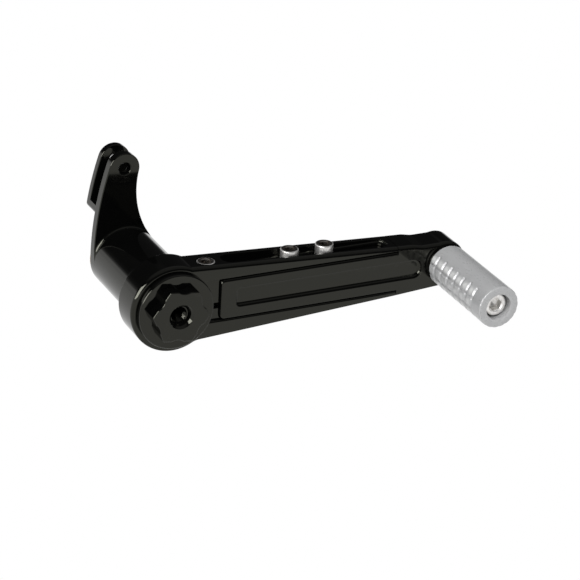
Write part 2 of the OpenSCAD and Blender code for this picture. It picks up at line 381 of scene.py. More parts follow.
def paint(obj, material, chosen):
    """Gives a second material to the faces whose centre, in millimetres, is chosen."""
    obj.data.materials.append(material)
    for face in obj.data.polygons:
        if chosen(face.center / MM):
            face.material_index = 1


# ---------------------------------------------------------------- materials


class Surface:
    """A Principled material with short ways to add procedural detail."""

    def __init__(self, name, **sockets):
        self.material = bpy.data.materials.new(name)
        self.material.use_nodes = True
        self.nodes = self.material.node_tree.nodes
        self.links = self.material.node_tree.links
        self.shader = self.nodes["Principled BSDF"]
        for socket, value in sockets.items():
            self.shader.inputs[socket.replace("_", " ")].default_value = value
        self.place = self.nodes.new("ShaderNodeTexCoord").outputs["Object"]
        self.normal = None

    def noise(self, scale, detail=4.0, stretch=(1, 1, 1), roughness=0.55):
        """Noise value in 0..1; scale is features per metre."""
        mapping = self.nodes.new("ShaderNodeMapping")
        mapping.inputs["Scale"].default_value = stretch
        self.links.new(self.place, mapping.inputs["Vector"])
        noise = self.nodes.new("ShaderNodeTexNoise")
        noise.inputs["Scale"].default_value = scale
        noise.inputs["Detail"].default_value = detail
        noise.inputs["Roughness"].default_value = roughness
        self.links.new(mapping.outputs[0], noise.inputs["Vector"])
        return noise.outputs["Fac"]

    def edges(self, low, high):
        """Value that rises from 0 to 1 on convex edges."""
        geometry = self.nodes.new("ShaderNodeNewGeometry")
        return self.ramp(geometry.outputs["Pointiness"], low, high)

    def attribute(self, name):
        """Value that the mesh holds at its points."""
        node = self.nodes.new("ShaderNodeAttribute")
        node.attribute_name = name
        return node.outputs["Fac"]

    def ramp(self, value, low, high, out=(0.0, 1.0)):
        """Value moved from the range low to high into another range."""
        node = self.nodes.new("ShaderNodeMapRange")
        node.inputs["From Min"].default_value = low
        node.inputs["From Max"].default_value = high
        node.inputs["To Min"].default_value = out[0]
        node.inputs["To Max"].default_value = out[1]
        self.links.new(value, node.inputs["Value"])
        return node.outputs["Result"]

    def arithmetic(self, operation, a, b):
        node = self.nodes.new("ShaderNodeMath")
        node.operation = operation
        self.links.new(a, node.inputs[0])
        self.links.new(b, node.inputs[1])
        return node.outputs[0]

    def product(self, a, b):
        return self.arithmetic("MULTIPLY", a, b)

    def total(self, a, b):
        return self.arithmetic("ADD", a, b)

    def mix(self, value, first, second):
        """Colour between two, each a colour or another socket."""
        node = self.nodes.new("ShaderNodeMix")
        node.data_type = "RGBA"
        self.links.new(value, node.inputs["Factor"])
        for socket, colour in ((node.inputs[6], first), (node.inputs[7], second)):
            if isinstance(colour, tuple):
                socket.default_value = (*colour, 1)
            else:
                self.links.new(colour, socket)
        return node.outputs[2]

    def set(self, socket, value):
        """Drives one of the shader's sockets."""
        self.links.new(value, self.shader.inputs[socket])

    def bump(self, height, depth):
        """Adds relief of a depth in metres."""
        node = self.nodes.new("ShaderNodeBump")
        node.inputs["Strength"].default_value = 1.0
        node.inputs["Distance"].default_value = depth
        self.links.new(height, node.inputs["Height"])
        if self.normal is not None:
            self.links.new(self.normal, node.inputs["Normal"])
        self.normal = node.outputs["Normal"]
        self.links.new(self.normal, self.shader.inputs["Normal"])


def gloss_black():
    """Gloss black anodised billet: faint milling lines, a slight waviness, and convex edges lightened as a
    painted edge highlight with a little rubbing.
    """
    s = Surface("gloss_black", IOR=1.41, Specular_Tint=(1.0, 1.0, 0.85, 1.0))
    lines = s.noise(900, 3, (0.06, 1, 1))
    clouds = s.noise(60, 5)
    # convex edges lighter in colour: partly a painted edge highlight, partly rubbing
    edge_highlight_and_rubbing = s.product(s.edges(0.55, 0.66), s.ramp(s.noise(420, 6), 0.45, 0.75))
    tint = s.mix(clouds, (0.0012, 0.0013, 0.0013), (0.0024, 0.0024, 0.0023))
    s.set("Base Color", s.mix(edge_highlight_and_rubbing, tint, (0.012, 0.012, 0.012)))
    s.set("Roughness", s.total(s.ramp(clouds, 0.3, 0.7, (0.045, 0.085)), s.ramp(edge_highlight_and_rubbing, 0, 1, (0.0, 0.1))))
    s.bump(lines, 0.0000008)
    s.bump(clouds, 0.000012)
    return s.material


def stainless(name, shade):
    """Machined stainless steel with fine turning marks and a few dull spots."""
    s = Surface(name, Metallic=0.78)
    marks = s.noise(2600, 3, (1, 1, 0.15))
    dull = s.noise(700, 5)
    clean, spots = (shade, shade * 0.99, shade * 0.97), (shade * 0.7, shade * 0.68, shade * 0.65)
    s.set("Base Color", s.mix(s.ramp(dull, 0.35, 0.7), clean, spots))
    s.set("Roughness", s.ramp(s.total(marks, dull), 0.7, 1.3, (0.28, 0.46)))
    s.bump(marks, 0.000006)
    return s.material


def socket_steel_painted_shade():
    """Darker steel for a cap screw's top and socket: painted shade, with a little brown grime."""
    s = Surface("socket_steel_painted_shade", Metallic=1.0)
    grime_and_shade = s.noise(900, 5)
    # darker colours: painted shade in the socket and on the top, mixed with brown grime
    s.set("Base Color", s.mix(s.ramp(grime_and_shade, 0.35, 0.65), (0.46, 0.44, 0.42), (0.16, 0.13, 0.10)))
    s.set("Roughness", s.ramp(grime_and_shade, 0.3, 0.7, (0.16, 0.4)))
    s.bump(grime_and_shade, 0.000008)
    return s.material


def phosphate():
    """Dark oiled spring steel."""
    s = Surface("spring_steel", Metallic=0.9)
    grain = s.noise(3000, 4)
    s.set("Base Color", s.mix(grain, (0.06, 0.06, 0.065), (0.16, 0.155, 0.15)))
    s.set("Roughness", s.ramp(grain, 0.3, 0.7, (0.32, 0.5)))
    s.bump(grain, 0.00001)
    return s.material


def sintered_bronze():
    """Porous bearing bronze, dark with oil in its pores."""
    s = Surface("sintered_bronze", Metallic=1.0)
    pores = s.ramp(s.noise(2400, 5), 0.38, 0.5)
    tone = s.mix(s.noise(150, 4), (0.50, 0.33, 0.16), (0.62, 0.43, 0.22))
    s.set("Base Color", s.mix(pores, (0.12, 0.08, 0.05), tone))
    s.set("Roughness", s.ramp(pores, 0, 1, (0.6, 0.34)))
    s.bump(pores, 0.00002)
    return s.material


def nitrile():
    """Black moulded rubber."""
    s = Surface("nitrile", IOR=1.5)
    dust = s.noise(900, 6)
    s.set("Base Color", s.mix(dust, (0.014, 0.014, 0.014), (0.032, 0.031, 0.030)))
    s.set("Roughness", s.ramp(dust, 0.3, 0.7, (0.5, 0.7)))
    s.bump(dust, 0.00002)
    return s.material


def pale_satin():
    """Pale grey satin metal of the toe peg, with painted highlights on the pads and on its convex edges, the
    edges also a little rubbed.
    """
    s = Surface("pale_satin", Metallic=0.1, IOR=1.5)
    grain = s.noise(1500, 4, (1, 0.3, 1))
    clouds = s.noise(90, 5)
    # convex edges lighter in colour: partly a painted edge highlight, partly rubbing
    edge_highlight_and_rubbing = s.product(s.edges(0.50, 0.58), s.ramp(s.noise(500, 5), 0.3, 0.7))
    tint = s.mix(clouds, (0.40, 0.403, 0.406), (0.46, 0.463, 0.466))
    # painted highlight: the pads turn near-white where they would catch the lamp on the left
    pad_highlight_share = s.product(s.attribute("pad_highlight"), s.ramp(grain, 0.2, 0.6, (0.75, 1.0)))
    tint = s.mix(pad_highlight_share, tint, (0.95, 0.95, 0.94))
    s.set("Base Color", s.mix(edge_highlight_and_rubbing, tint, (0.66, 0.66, 0.66)))
    s.set("Roughness", s.total(s.ramp(grain, 0.3, 0.7, (0.26, 0.34)), s.ramp(edge_highlight_and_rubbing, 0, 1, (0.0, -0.06))))
    s.bump(grain, 0.0000015)
    return s.material


BLACK = gloss_black()
STEEL = stainless("stainless", 0.8)
BRIGHT_STEEL = stainless("bright_stainless", 0.97)
SOCKET_SHADE = socket_steel_painted_shade()
SPRING = phosphate()
BRONZE = sintered_bronze()
RUBBER = nitrile()
PALE = pale_satin()


# ---------------------------------------------------------------- sizes from the frame

arm_low, arm_high = span("clamp_arm")
bar_low, bar_high = span("slider_bar")
crank_low, crank_high = span("bellcrank")
axle_low, axle_high = span("pivot_axle")
peg_low, peg_high = span("toe_peg")
pinch_low, pinch_high = span("pinch_bolt")

INCH = 25.4
QUARTER_INCH = {"shank": 3.175, "head_height": 6.35, "key": 4.76, "pitch": INCH / 20}
FIVE_SIXTEENTHS = {"shank": 3.97, "head_height": 7.94, "key": 6.35, "pitch": INCH / 18}
THREAD_GAP = 0.03                           # round a screw in its tapped hole
RUN_GAP = 0.05                              # round the barrel in the hub
FAR = 40                                    # reach of a cutter past what it cuts

hub_r = -arm_low.x
arm_end = arm_high.x
hub_back = arm_high.y
arm_back = bar_high.y
mid_y = (pinch_low.y + pinch_high.y) / 2
pinch_x = (pinch_low.x + pinch_high.x) / 2

# The arm's sloping edges: height at the pivot, and slope
top_level, top_slope = 21.4, -6.9 / 126
bottom_level, bottom_slope = -20.1, 7.3 / 126
OUTER_EDGE = (2.3, 2.3, 0.25)               # the arm's and slider's front edges
BACK_EDGE = 0.4
BREAK = 0.35                                # small broken edges

barrel_r = -crank_low.z
plate_y, plate_back, slot_back, clevis_back = 64.4, 69.4, 77.4, crank_high.y
ear_centre = Vector((-1.4, 50.8))
ear_r = crank_high.z - ear_centre.y
web_z, slot_z = 25.0, 30.3
pin_hole_r = 3.25
bush_r, bush_flange_r = 12.7, 15.5

channel_x = 25.2                            # inner end of the arm's channel
channel_low, channel_high, channel_back = -10.3, 12.5, 13.3
CHANNEL_LIP = (0.3, 0.8, 1.3)
CORNER_R = 2.4                              # of the channel and of the bar in it
land_y = 2.0                                # depth of the land beside the channel
head_seat = 13.45                           # level of the clamp screws' seat
pinch_seat = pinch_high.z - QUARTER_INCH["head_height"]
screw_r, screw_head_r = QUARTER_INCH["shank"], (pinch_high.x - pinch_low.x) / 2

bar_x, bar_bottom, bar_top, bar_back = bar_low.x, -9.9, 12.1, 13.0
head_gap = 0.3                              # between the arm's end and the slider's head
peg_x, peg_z = (peg_low.x + peg_high.x) / 2, (peg_low.z + peg_high.z) / 2
peg_r = (peg_high.x - peg_low.x) / 2
peg_bore_r, peg_counterbore_r = 6.05, 6.9
head_r = 12.0


def arm_top(x):
    return top_level + top_slope * x


def arm_bottom(x):
    return bottom_level + bottom_slope * x


# ---------------------------------------------------------------- clamp arm


def arm_outline(end):
    """Hub and tapering bar in side view, with blends where they meet."""
    low_blend, high_blend = 8.0, 1.2
    below, ring_low, line_low = circle_meets_line(
        (0, 0), hub_r, low_blend, bottom_level, bottom_slope, -1)
    above, ring_high, line_high = circle_meets_line(
        (0, 0), hub_r, high_blend, top_level, top_slope, 1)
    outline = [Vector((end, arm_bottom(end))), Vector((end, arm_top(end)))]
    outline += arc(above, line_high, ring_high, -1)
    outline += arc((0, 0), ring_high, ring_low, 1, 3)
    outline += arc(below, ring_low, line_low, -1)
    return outline


def stadium(start, end, middle, half):
    """Round-ended slot along u."""
    outline = []
    for u, turn in ((end - half, 1), (start + half, -1)):
        centre, across = Vector((u, middle)), Vector((0, turn * half))
        outline += arc(centre, centre - across, centre + across, 1, 6)
    return outline


def pocket_cutter():
    """Round-ended pocket whose floor is level while the arm's top slopes."""
    start, end, half = 28.6, 123.0, 5.1
    lip, floor_round, under_heads = 0.12, 0.8, 0.05
    outline = stadium(start, end, mid_y, half)
    top = rings_of(outline, mouth(0, 1, lip), lambda u, v, place: (u, v, arm_top(u) - place))
    floor = quarter(head_seat - under_heads, 1, floor_round, 1, 4)[::-1]
    return loft("pocket", top + rings_of(outline, floor, lambda u, v, place: (u, v, place)))


def shank_slot_cutter():
    """Slot in the pocket's floor for the clamp screws' shanks."""
    start, end, gap = 30.6, 121, 0.25
    profile = plain(channel_high - 1) + plain(18)
    return plate("shank_slot", stadium(start, end, mid_y, screw_r + gap), profile)


def slit_outline():
    """Slit that lets the hub close, with a relief hole at its end."""
    start, low, high, end, relief = 10, -4.35, -1.05, 42.0, 2.5
    middle = (low + high) / 2
    run = math.sqrt(relief**2 - ((high - low) / 2) ** 2)
    outline = [Vector((start, low))]
    outline += arc((end, middle), (end - run, low), (end - run, high), 1, 8)
    return outline + [Vector((start, high))]


def land_outline():
    """Sunk land between the hub's bore and the channel, just inside the channel's own lip."""
    start, end, inside = -2, 36, 0.03
    low, high = channel_low + inside, channel_high - inside
    return [Vector(p) for p in ((start, low), (end, low), (end, high), (start, high))]


def pinch_bolt_cutters():
    """Counterbore, clearance hole and tapped hole of the pinch bolt, from the top down."""
    place, face, clear = (pinch_x, mid_y), arm_top(pinch_x), screw_head_r + 0.6
    sunk = [(25, clear), (face + 0.2, clear)]
    sunk += turned(face - 0.05, pinch_seat, screw_head_r + 0.35, -0.15)
    shank = [(14, screw_r + 0.2), (-2.7, screw_r + 0.2)]
    tapped = [(-1, screw_r + THREAD_GAP), (-15.5, screw_r + THREAD_GAP)]
    return [
        lathe("sunk", sunk, place, "Z", 64),
        lathe("shank", shank, place, "Z", 48),
        lathe("tapped", tapped, place, "Z", 48),
    ]


def make_clamp_arm():
    over = 6                                # the bar is made longer, then cut square
    overlap, inside = 4, 0.01               # of the ring that thickens the hub
    arm = slab("arm", arm_outline(arm_end + over), edges(0, arm_back, OUTER_EDGE, BACK_EDGE))
    ring_profile = edges(arm_back - overlap, hub_back, 0, BACK_EDGE)
    join(arm, slab("ring", circle((0, 0), hub_r - inside, 3), ring_profile))
    channel = box_outline((channel_x, channel_low), (arm_end + FAR / 2, channel_high), CORNER_R)
    bore_r = barrel_r + RUN_GAP
    bore = [(-1, bore_r)] + turned(0, hub_back, bore_r, 0, -BREAK) + [(hub_back + 1, bore_r + BREAK)]
    cut(
        arm,
        lathe("bore", bore, count=120),
        block((arm_end, -5, -FAR), (arm_end + FAR, FAR, FAR)),
        slab("slit", slit_outline(), through(land_y - 4, hub_back, 0.25)),
        slab("channel", channel, mouth(0, 1, CHANNEL_LIP) + plain(channel_back)),
        slab("land", land_outline(), mouth(0, 1, CHANNEL_LIP) + plain(land_y)),
        *pinch_bolt_cutters(),
        pocket_cutter(),
        shank_slot_cutter(),
    )
    return arm


# ---------------------------------------------------------------- slider


def head_outline(start):
    """The slider's head in side view: flush with the arm, then a dip and a round end."""
    centre = Vector((peg_x, peg_z))
    dip, shelf, dip_blend, ease_r = 12.9, 14.1, 6.0, 9
    dip_end, shelf_end = peg_x - 13.2, peg_x - 19.0
    blend, on_ring, on_line = circle_meets_line(centre, head_r, dip_blend, dip, 0, 1, -1)
    away = centre - Vector((start, arm_bottom(start)))
    lean = math.atan2(away.y, away.x) - math.asin(head_r / away.length)
    lowest = centre + head_r * Vector((math.sin(lean), -math.cos(lean)))
    outline = [Vector((start, arm_bottom(start)))]
    outline += arc(centre, lowest, on_ring, 1, 4)
    outline += arc(blend, on_ring, on_line, -1, 5)
    ease = rounded([
        (start, dip - 5, 0),
        (start + FAR, dip - 5, 0),
        (on_line.x - 2, dip, 0),
        (dip_end, dip, ease_r),
        (shelf_end, shelf, ease_r),
        (start, arm_top(start), 0),
    ])
    return outline + [p for p in ease if p.y > dip - 1]


def recess_outline():
    """Long recess in the slider's outer face, rounder at its outer end."""
    left, right, low, high, tight, full = 34.2, 140.5, -4.5, 6.3, 2.6, 4.6
    return rounded([(left, low, tight), (right, low, full), (right, high, full), (left, high, tight)])


def screw_places():
    """X of the two clamp screws."""
    places = []
    for node in ("clamp_screw_inner", "clamp_screw_outer"):
        low, high = span(node)
        places.append((low.x + high.x) / 2)
    return places


def make_slider():
    over, bar_overlap = 5, 4
    start = arm_end + head_gap
    bar_outline = box_outline((bar_x, bar_bottom), (arm_end + bar_overlap, bar_top), CORNER_R)
    bar = slab("bar", bar_outline, edges(0, bar_back, (2.0, 1.0, 0.5), 0.5))
    head = slab("head", head_outline(start - over), edges(0, arm_back, OUTER_EDGE, BACK_EDGE))
    cut(head, block((arm_end - FAR, -5, -FAR), (start, FAR, FAR)))
    join(bar, head)
    boss_r, boss_front = 10.3, -1.2
    join(bar, lathe("boss", turned(boss_front, 2, boss_r, 0.3, 0), (peg_x, peg_z)))
    recess_depth, recess_lip, recess_round = 2.2, 0.12, 1.9
    cut(bar, slab("recess", recess_outline(), pit(0, recess_depth, recess_lip, recess_round)))
    tapped = [(20, screw_r + THREAD_GAP), (-7, screw_r + THREAD_GAP)]
    cut(
        bar,
        lathe("peg_hole", turned(-3, 20, FIVE_SIXTEENTHS["shank"] + THREAD_GAP), (peg_x, peg_z), count=48),
        *[lathe("tapped", tapped, (x, mid_y), "Z", 48) for x in screw_places()],
    )
    return bar


# ---------------------------------------------------------------- pivot axle


def register_outline():
    """Hexagon with a shallow scallop in the middle of each flat."""
    radius, turn, scallop_r, scallop, corner_r = 15.5, -6.9, 6.0, 0.9, 0.5
    outline = []
    apothem = radius * math.cos(math.pi / 6)
    half = math.sqrt(scallop_r**2 - (scallop_r - scallop) ** 2)
    for side in range(6):
        across = math.radians(180 + turn + 30 + 60 * side)
        out = Vector((math.cos(across), math.sin(across)))
        along = Vector((-out.y, out.x))
        corner = out * apothem - along * radius / 2
        centre = out * (apothem + scallop_r - scallop)
        outline.append((*corner, corner_r))
        lip0, lip1 = out * apothem - along * half, out * apothem + along * half
        outline += [(*p, 0) for p in arc(centre, lip0, lip1, -1, 9)]
    return rounded(outline, 15)


def tapped_hole_cutters(front, back):
    """The axle's two tapped holes: the front one has a curved mouth, the rear one a broken edge."""
    crest, root, pitch = 4.25, 4.74, INCH / 24
    flare_r, steep = 4.2, math.radians(34)  # of the front mouth, and its slope at the face
    turns = [steep + (math.pi / 2 - steep) * i / 8 for i in range(9)]
    funnel = []
    for t in turns:
        depth = flare_r * (math.cos(steep) - math.cos(t))
        funnel.append((front + depth, root + flare_r * (1 - math.sin(t))))
    front_hole = [(front - 1, funnel[0][1])] + funnel
    front_hole += thread(funnel[-1][0] + 0.2, front + 20, crest, root, pitch) + [(front + 23, crest)]
    rear_hole = [(back + 1, root + 0.4), (back, root + 0.4), (back - 0.6, root)]
    rear_hole += thread(back - 0.8, back - 16, crest, root, pitch) + [(back - 22, crest)]
    return lathe("front_thread", front_hole, count=64), lathe("rear_thread", rear_hole, count=48)


def make_axle():
    front, back = axle_low.y, axle_high.y
    flange_front, flange_back, shoulder = -3.7, -0.3, 75.0
    flange_r, shaft_r, stub_r = axle_high.x, 9.5, 7.95
    groove_start, groove_end, groove_r = 71.0, 72.2, 8.6
    profile = turned(flange_front, flange_back, flange_r, 0.7, 0.3)
    profile += [(flange_back, shaft_r), (groove_start, shaft_r), (groove_start, groove_r)]
    profile += [(groove_end, groove_r)] + turned(groove_end, shoulder, shaft_r, 0, 0.3)
    profile += turned(shoulder, back, stub_r, 0, 1.0)
    axle = lathe("axle", profile, count=128)
    join(axle, slab("register", register_outline(), edges(front, flange_front + 0.6, 0.45, 0)))
    cut(axle, *tapped_hole_cutters(front, back))
    return axle


# ---------------------------------------------------------------- bellcrank

BACK_R, THROAT_R = 175.0, 49.0
back_centre = circles_cross((0, 0), BACK_R - barrel_r, ear_centre, BACK_R - ear_r, 1)
throat_centre = circles_cross((0, 0), THROAT_R + barrel_r, ear_centre, THROAT_R + ear_r, 1)


def crank_outline():
    """The plate in side view: the barrel and the clevis's end, joined by a hollow and a full curve."""
    low_throat = throat_centre * barrel_r / (THROAT_R + barrel_r)
    high_throat = ear_centre + (throat_centre - ear_centre) * ear_r / (THROAT_R + ear_r)
    high_back = ear_centre + (ear_centre - back_centre).normalized() * ear_r
    low_back = -back_centre.normalized() * barrel_r
    outline = arc(throat_centre, low_throat, high_throat, -1, 3)
    outline += arc(ear_centre, high_throat, high_back, 1, 5)
    outline += arc(back_centre, high_back, low_back, 1, 1)
    outline += arc((0, 0), low_back, low_throat, 1, 3)
    return without_repeats(outline)


def above(outline, level, radius):
    """The part of an outline above a level, with its two new corners rounded."""
    kept = []
    for i, p in enumerate(outline):
        q = outline[(i + 1) % len(outline)]
        if p.y > level + 1.3 * radius:
            kept.append((*p, 0))
        if (p.y - level) * (q.y - level) < 0:
            kept.append((*p.lerp(q, (level - p.y) / (q.y - p.y)), radius))
    return rounded(kept)


def plate_fillet(outline):
    """Round inner corner between the barrel and the plate, inside the plate's outline."""
    radius = 1.3
    flare = [(plate_y + 0.5, barrel_r + radius), (plate_y, barrel_r + radius)]
    for t in [math.pi / 2 * i / 8 for i in range(1, 9)]:
        flare.append((plate_y - radius * (1 - math.cos(t)), barrel_r + radius * (1 - math.sin(t))))
    flare.append((plate_y - radius - 0.5, barrel_r - 0.6))
    keep = slab("keep", outline, plain(plate_y - 10) + plain(plate_y + 0.4))
    return combine(lathe("flare", flare, count=128), "INTERSECT", keep)


def clevis_web(outline):
    """Block between the plate and the far ear, below the clevis's slot."""
    overlap, within = 0.6, 0.02             # into its neighbours, and inside the plate's sides
    web = slab("web", outline, [(plate_back - overlap, within, 0, 1), (slot_back + overlap, within, 0, 1)])
    cut(
        web,
        block((-FAR, plate_back, slot_z), (FAR, slot_back, 2 * FAR)),
        block((-FAR, plate_y, slot_z + 2), (FAR, 90, 2 * FAR)),
    )
    return web


def pin_cutters():
    """The clevis pin's hole in each ear, with broken edges."""
    broken = 0.5
    cutters = []
    for near, far in ((plate_y, plate_back), (slot_back, clevis_back)):
        profile = [(near - 1, pin_hole_r + broken)]
        profile += turned(near, far, pin_hole_r, -broken, -broken) + [(far + 1, pin_hole_r + broken)]
        cutters.append(lathe("pin", profile, ear_centre, count=64))
    return cutters


def bush_cutters():
    """The barrel's bore, and the seat of a bush's flange at each end."""
    front_seat, rear_seat, past = 3.7, plate_back - 4.1, plate_back + 1
    front = [(-1, bush_flange_r + 0.4), (0.5, bush_flange_r), (front_seat, bush_flange_r)]
    rear = [(rear_seat, bush_flange_r), (plate_back - 0.4, bush_flange_r), (past, bush_flange_r + 1.4)]
    return [
        lathe("bore", [(-1, bush_r), (90, bush_r)]),
        lathe("front_seat", front),
        lathe("rear_seat", rear),
    ]


def pinch_groove():
    """Part of a ring round the barrel that the pinch bolt passes through."""
    inner, outer, half = pinch_x - screw_r - 0.4, barrel_r + 2, screw_r + 0.4
    swing, steps = math.radians(40), 24
    rings = []
    for i in range(steps + 1):
        angle = -swing + 2 * swing * i / steps
        c, s = math.cos(angle), math.sin(angle)
        section = ((inner, -half), (outer, -half), (outer, half), (inner, half))
        rings.append([(r * c, mid_y + y, r * s) for r, y in section])
    return loft("groove", rings)


def make_bellcrank():
    outline = crank_outline()
    corner_r, barrel_overlap, inside = 2.5, 1.5, 0.005
    upper = above(outline, web_z, corner_r)
    crank = slab("crank", outline, edges(plate_y, plate_back, 0.5, 0.4))
    barrel = lathe("barrel", turned(0.1, plate_y + barrel_overlap, barrel_r - inside, 0.5), count=128)
    ear = slab("ear", upper, edges(slot_back, clevis_back, 0.4, 0.6))
    join(crank, barrel, plate_fillet(outline), ear, clevis_web(upper))
    cut(crank, *pin_cutters(), *bush_cutters(), pinch_groove())
    return crank


# ---------------------------------------------------------------- toe peg


def smooth(value, low, high):
    """0 below low, 1 above high, and a smooth step between."""
    t = min(1, max(0, (value - low) / (high - low)))
    return t * t * (3 - 2 * t)


RING_PITCH, COLUMN_PITCH = 6.6, 30          # of the grip's pads, in mm and degrees
FIRST_RING, RINGS = 7.75, 6                 # the first ring groove's distance out, and the spaces between
COLUMNS = 6
GROOVE_DEPTH = 0.85


def pillow(distance, half):
    """Depth, from 1 in a groove to 0 in the middle of a crowned pad that is half a pitch away."""
    near = max(0.0, 1 - distance / half)
    return 0.6 * (1 - math.sqrt(1 - near * near)) + 0.4 * (1 - smooth(distance, 0.25, 1.3))


def peg_surface(out, angle):
    """The peg's radius at a distance out from its inner end's plane and an angle about its axis."""
    degrees = math.degrees(angle) % 360
    zone = smooth(degrees, 131, 137) * (1 - smooth(degrees, 343, 349))
    ring = (out - FIRST_RING) / RING_PITCH
    from_ring = abs(ring - min(RINGS, max(0, round(ring)))) * RING_PITCH
    column = (degrees - 165) / COLUMN_PITCH
    from_column = math.radians(abs(column - min(COLUMNS, max(0, round(column)))) * COLUMN_PITCH) * peg_r
    ring_groove = pillow(from_ring, RING_PITCH / 2)
    column_groove = 0.6 * pillow(from_column, math.radians(COLUMN_PITCH / 2) * peg_r)
    column_groove *= 1 - smooth(out, 46.6, 47.8)
    groove = 1 - (1 - ring_groove) * (1 - column_groove)
    end, rim_depth, rim_cuts = -peg_low.y, 0.2, 19
    milled = 0.5 - 0.5 * math.cos(rim_cuts * angle)
    rim = rim_depth * milled**3 * smooth(out, end - 1.9, end - 0.4)
    return peg_r - GROOVE_DEPTH * groove * zone - rim


def painted_pad_highlight(out, angle):
    """Painted highlight on the peg's pads: strongest in the middle of the upper row of pads."""
    shares = (0.75, 0.35, 0.25, 0.2, 0.2, 0.2)
    ring = (out - FIRST_RING) / RING_PITCH - 0.5
    along = abs(ring - round(ring)) if -1.3 < ring < RINGS - 0.6 else 1
    column = (math.degrees(angle) % 360 - 150) / COLUMN_PITCH
    row = round(column)
    if not 0 <= row < len(shares):
        return 0.0
    across = abs(column - row)
    return shares[row] * (1 - smooth(along, 0.05, 0.45)) * (1 - smooth(across, 0.05, 0.5))


def peg_profile():
    """The peg in half section, from the inner end's bore out, along the grip and back through the bore."""
    start, end, rows, lip = -peg_high.y, -peg_low.y, 190, 0.7

    def skin(out, drop=0.0):
        return lambda angle: peg_surface(out, angle) - drop

    profile = [(-start, peg_bore_r + 0.3), (-start, peg_r - 1.6)]
    profile += [(-start, skin(start, lip)), (-start - 0.2, skin(start, 0.2))]
    for i in range(rows + 1):
        out = start + lip + (end - start - 2 * lip) * i / rows
        profile.append((-out, skin(out)))
    for t in (0.4, 0.8, 1.2, math.pi / 2):
        profile.append((-end + lip * (1 - math.sin(t)), skin(end, lip * (1 - math.cos(t)))))
    profile += [(-end, peg_r - 2.2), (-end, peg_counterbore_r + 0.5)]
    profile += [(-end + 0.15, peg_counterbore_r + 0.15), (-end + 0.5, peg_counterbore_r)]
    floor = span("peg_outer_washer")[1].y + 0.1
    return profile + [(floor, peg_counterbore_r), (floor, peg_bore_r), (-start - 0.3, peg_bore_r)]


def make_peg():
    peg = loft("peg", lathe_rings(peg_profile(), (peg_x, peg_z), "Y", 264), tube=True)
    # painted highlight on the pads, held in a point attribute
    pad_highlight = peg.data.attributes.new("pad_highlight", "FLOAT", "POINT")
    for vertex, value in zip(peg.data.vertices, pad_highlight.data):
        place = vertex.co / MM
        u, v = place.x - peg_x, place.z - peg_z
        if math.hypot(u, v) > peg_r - 1.5:
            value.value = painted_pad_highlight(-place.y, math.atan2(v, u))
    return peg


# ---------------------------------------------------------------- screws


def screw_profile(size, head, tip):
    """Half section of a cap screw from its tip up, with the head's underside at 0."""
    shank, head_h = size["shank"], size["head_height"]
    plain_part = min(-4.0, tip + 18)
    profile = [(tip, shank - 0.9), (tip + 0.7, shank - 0.35)]
    profile += thread(tip + 0.8, plain_part, shank - 0.55, shank, size["pitch"])
    profile += [(plain_part + 0.3, shank), (-0.5, shank), (0, shank + 0.3)]
    profile += [(0, head - 0.35), (0.35, head), (head_h * 0.3, head)]
    return profile + turned(head_h * 0.6, head_h, head, 0, 0.55) + [(head_h, head - 1.1)]


def socket_cutters(size):
    """The screw's hexagonal socket, its chamfer and the drilled bottom."""
    head_h, half_key, corner = size["head_height"], size["key"] / 2, size["key"] / math.sqrt(3)
    turns = [math.radians(a) for a in range(15, 375, 60)]
    hexagon = [Vector((math.cos(t), math.sin(t))) * size["key"] / math.sqrt(3) for t in turns]
    chamfer = [(head_h + 1, corner + 1.3), (head_h - 0.45, corner - 0.15), (head_h - 0.46, 0.2)]
    drill = [(head_h - 1, half_key), (head_h * 0.45, half_key), (head_h * 0.45 - 1.2, 0.1)]
    return [
        plate("socket", hexagon, plain(head_h + 1) + plain(head_h * 0.5)),
        lathe("chamfer", chamfer, axis="Z", count=60),
        lathe("drill", drill, axis="Z", count=48),
    ]


def cap_screw(node, size):
    """Socket head cap screw in a CAD node's place: the peg bolt points inboard, the others down."""
    low, high = span(node)
    middle, head_h, inboard = (low + high) / 2, size["head_height"], node == "peg_bolt"
    length = high.y - low.y if inboard else high.z - low.z
    profile = screw_profile(size, (high.x - low.x) / 2, head_h - length)
    screw = cut(lathe("screw", profile, axis="Z", count=60), *socket_cutters(size))
    if inboard:
        place, turn = (middle.x, low.y + head_h, middle.z), Matrix.Rotation(math.radians(90), 4, "X")
    else:
        place, turn = (middle.x, middle.y, high.z - head_h), Matrix.Identity(4)
    screw.matrix_world = Matrix.Translation(Vector(place) * MM) @ turn
    return screw


# ---------------------------------------------------------------- the pieces in place

finished(make_clamp_arm(), "Clamp_arm", BLACK, "arm", "black_anodised", "clamp_arm")
finished(make_slider(), "Slider_bar", BLACK, "slider", "black_anodised", "slider_bar")
finished(make_axle(), "Pivot_axle", BLACK, "axle", "black_anodised", "pivot_axle")
finished(make_bellcrank(), "Bellcrank", BLACK, "bellcrank", "black_anodised", "bellcrank")
finished(make_peg(), "Toe_peg", PALE, "toe_peg", "pale_aluminium", "toe_peg")


def on_socket(centre):
    """Whether a face of a quarter inch screw lies on the head's top or in its socket."""
    return centre.z > 1.5 and math.hypot(centre.x, centre.y) < screw_head_r - 0.6


for node, body in (("pinch_bolt", "arm"), ("clamp_screw_inner", "slider"), ("clamp_screw_outer", "slider")):
    screw = cap_screw(node, QUARTER_INCH)
    finished(screw, node.capitalize(), STEEL, body, "stainless", node)
    # the head's top and socket get painted shade
    paint(screw, SOCKET_SHADE, on_socket)
finished(cap_screw("peg_bolt", FIVE_SIXTEENTHS), "Peg_bolt", BRIGHT_STEEL, "slider", "stainless", "peg_bolt")

